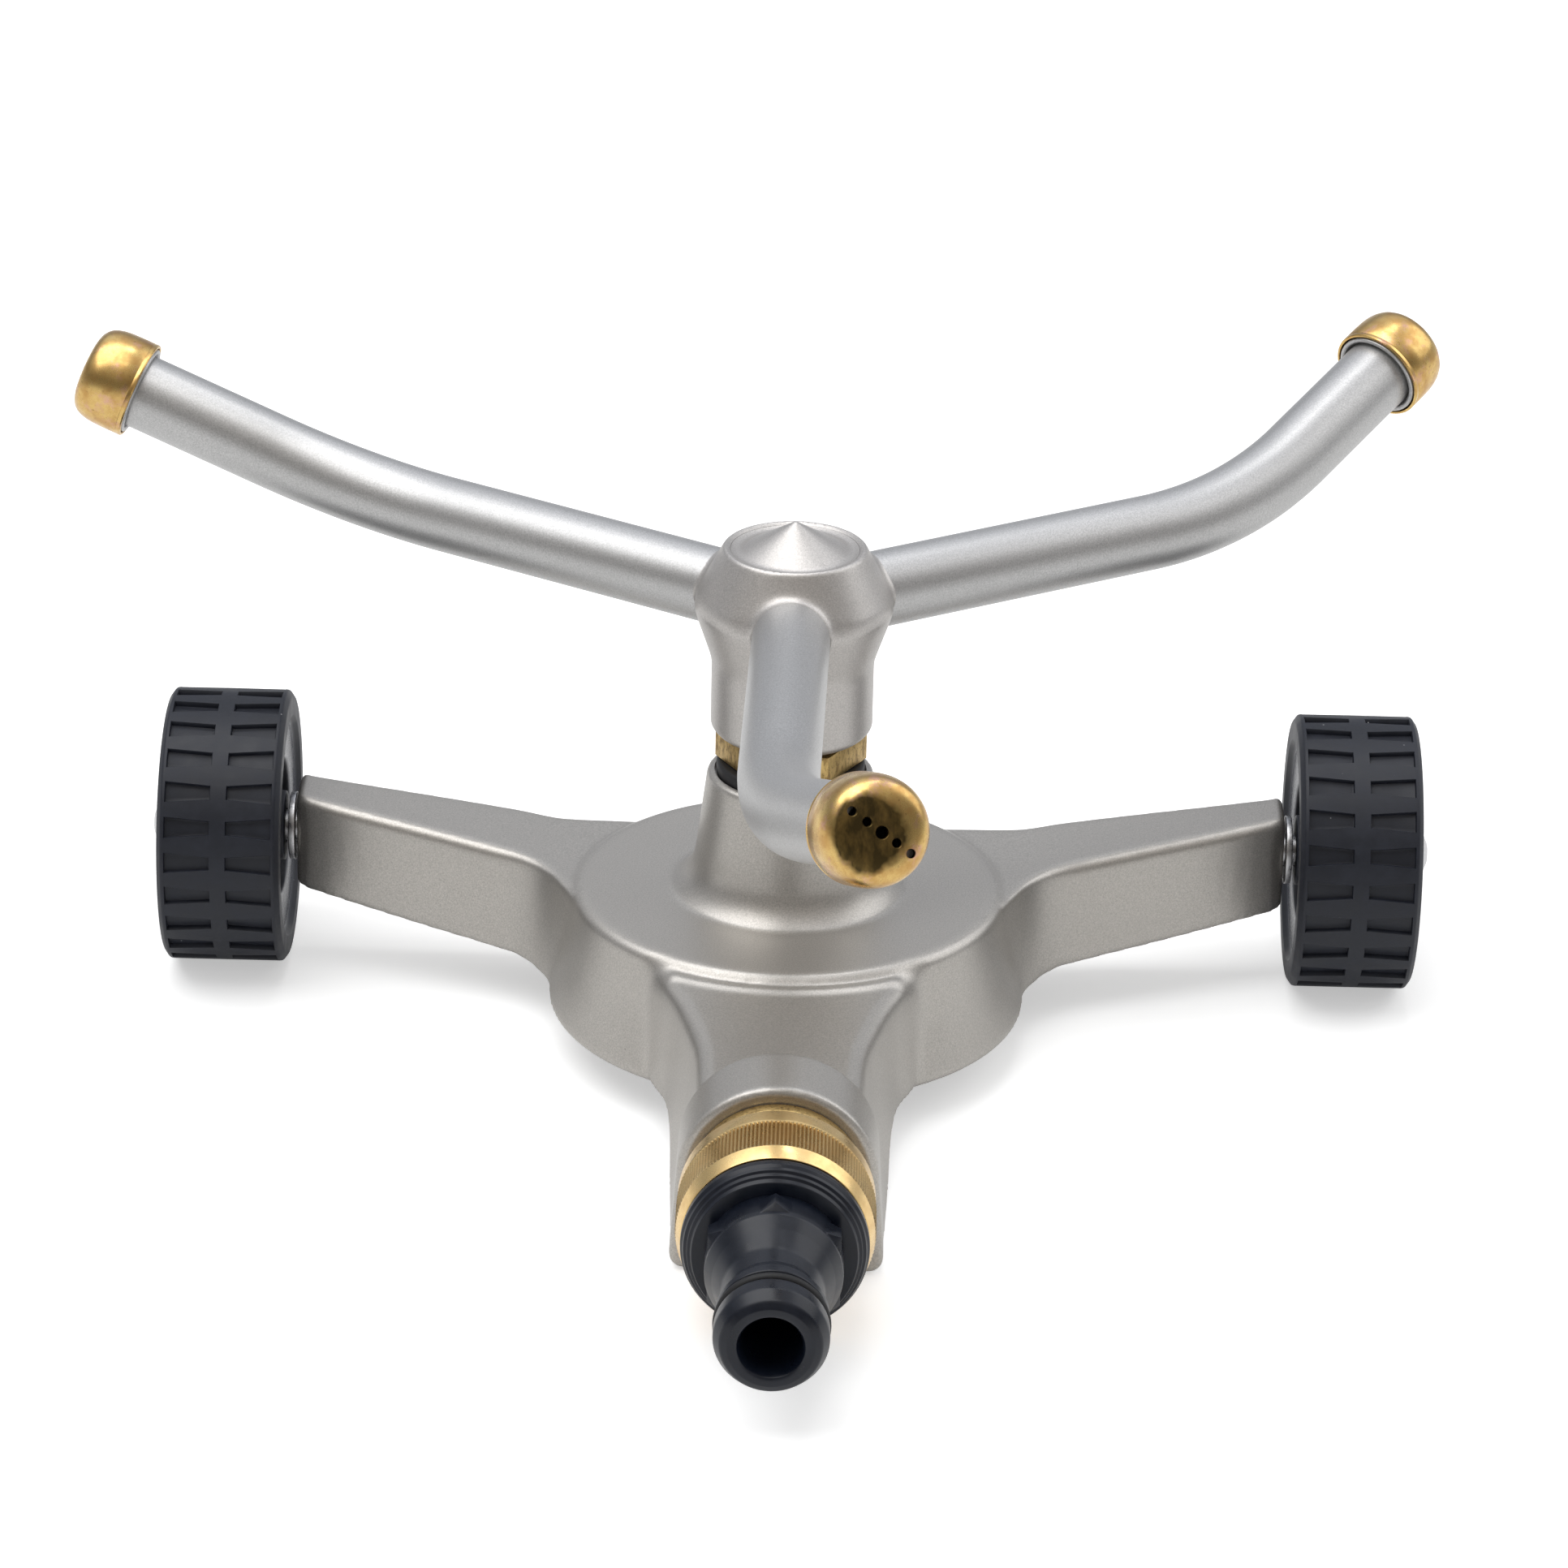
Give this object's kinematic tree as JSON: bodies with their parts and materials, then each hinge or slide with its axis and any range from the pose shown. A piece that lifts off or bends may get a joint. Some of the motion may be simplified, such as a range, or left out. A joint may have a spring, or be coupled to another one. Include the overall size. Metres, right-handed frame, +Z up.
{
  "type": "rotary sprinkler",
  "caption": "Metal lawn sprinkler: a rotor of bent arms with brass nozzle caps spins on a cast base with wheels and a swivelling hose inlet.",
  "frame": {"origin": "on the ground under the middle of the whole object at rest; the upright rotor axis stands at x 0.0056, y 0.0247", "axes": "+Z up along the rotor axis, +X along the wheel axles towards the right wheel, -Y out of the hose inlet"},
  "size_m": [0.2211, 0.2063, 0.0984],
  "materials": {
    "cast_metal": "die cast, coated satin grey with a fine metallic speckle",
    "hub_metal": "die cast, coated satin grey",
    "arm_metal": "satin nickel look",
    "brass": "turned and polished, slightly tarnished",
    "spindle_brass": "turned, dull and scratched",
    "steel": "zinc plated",
    "black_plastic": "moulded, semi-gloss",
    "wheel_plastic": "moulded, matt",
    "black_rubber": "matt"
  },
  "bodies": {
    "base": {"base_casting": "cast_metal", "column_seal": "black_rubber", "spindle": "spindle_brass", "thrust_washer": "steel", "spindle_o_ring_lower": "black_rubber", "spindle_o_ring_upper": "black_rubber", "top_washer": "steel", "lock_nut": "steel", "axle_left": "steel", "axle_right": "steel", "axle_washer_left": "steel", "axle_washer_right": "steel", "axle_cap_left": "steel", "axle_cap_right": "steel", "inlet_tail": "spindle_brass", "tail_o_ring": "black_rubber"},
    "rotor": {"hub": "hub_metal", "hub_cap": "hub_metal", "arm_front": "arm_metal", "arm_right": "arm_metal", "arm_left": "arm_metal", "arm_collar_front": "arm_metal", "arm_collar_right": "arm_metal", "arm_collar_left": "arm_metal", "nozzle_o_ring_front": "black_rubber", "nozzle_o_ring_right": "black_rubber", "nozzle_o_ring_left": "black_rubber"},
    "nozzle_cap_front": {"nozzle_front": "brass"},
    "nozzle_cap_right": {"nozzle_right": "brass"},
    "nozzle_cap_left": {"nozzle_left": "brass"},
    "hose_swivel": {"swivel_ring": "brass", "hose_washer": "black_rubber", "hose_adapter": "black_plastic", "adapter_o_ring": "black_rubber"},
    "left_wheel": {"wheel_left": "wheel_plastic"},
    "right_wheel": {"wheel_right": "wheel_plastic"}
  },
  "joints": [
    {"name": "rotor_spin", "type": "hinge", "parent": "base", "child": "rotor", "pos_m": [0.0056, 0.0247, 0.0733], "axis": [0, 0, 1], "continuous": true},
    {"name": "left_wheel_roll", "type": "hinge", "parent": "base", "child": "left_wheel", "pos_m": [-0.0851, 0.0507, 0.022], "axis": [1, 0, 0], "continuous": true},
    {"name": "right_wheel_roll", "type": "hinge", "parent": "base", "child": "right_wheel", "pos_m": [0.0963, 0.0507, 0.022], "axis": [1, 0, 0], "continuous": true},
    {"name": "inlet_swivel", "type": "hinge", "parent": "base", "child": "hose_swivel", "pos_m": [0.0056, -0.0655, 0.0153], "axis": [0, -1, 0], "continuous": true},
    {"name": "nozzle_front_turn", "type": "hinge", "parent": "rotor", "child": "nozzle_cap_front", "pos_m": [0.01904, -0.09875, 0.09218], "axis": [0.3048, -0.8823, 0.3587], "continuous": true},
    {"name": "nozzle_right_turn", "type": "hinge", "parent": "rotor", "child": "nozzle_cap_right", "pos_m": [0.10528, 0.09876, 0.09218], "axis": [0.6067, 0.7094, 0.3587], "continuous": true},
    {"name": "nozzle_left_turn", "type": "hinge", "parent": "rotor", "child": "nozzle_cap_left", "pos_m": [-0.10906, 0.07239, 0.09218], "axis": [-0.92, 0.1579, 0.3587], "continuous": true}
  ]
}
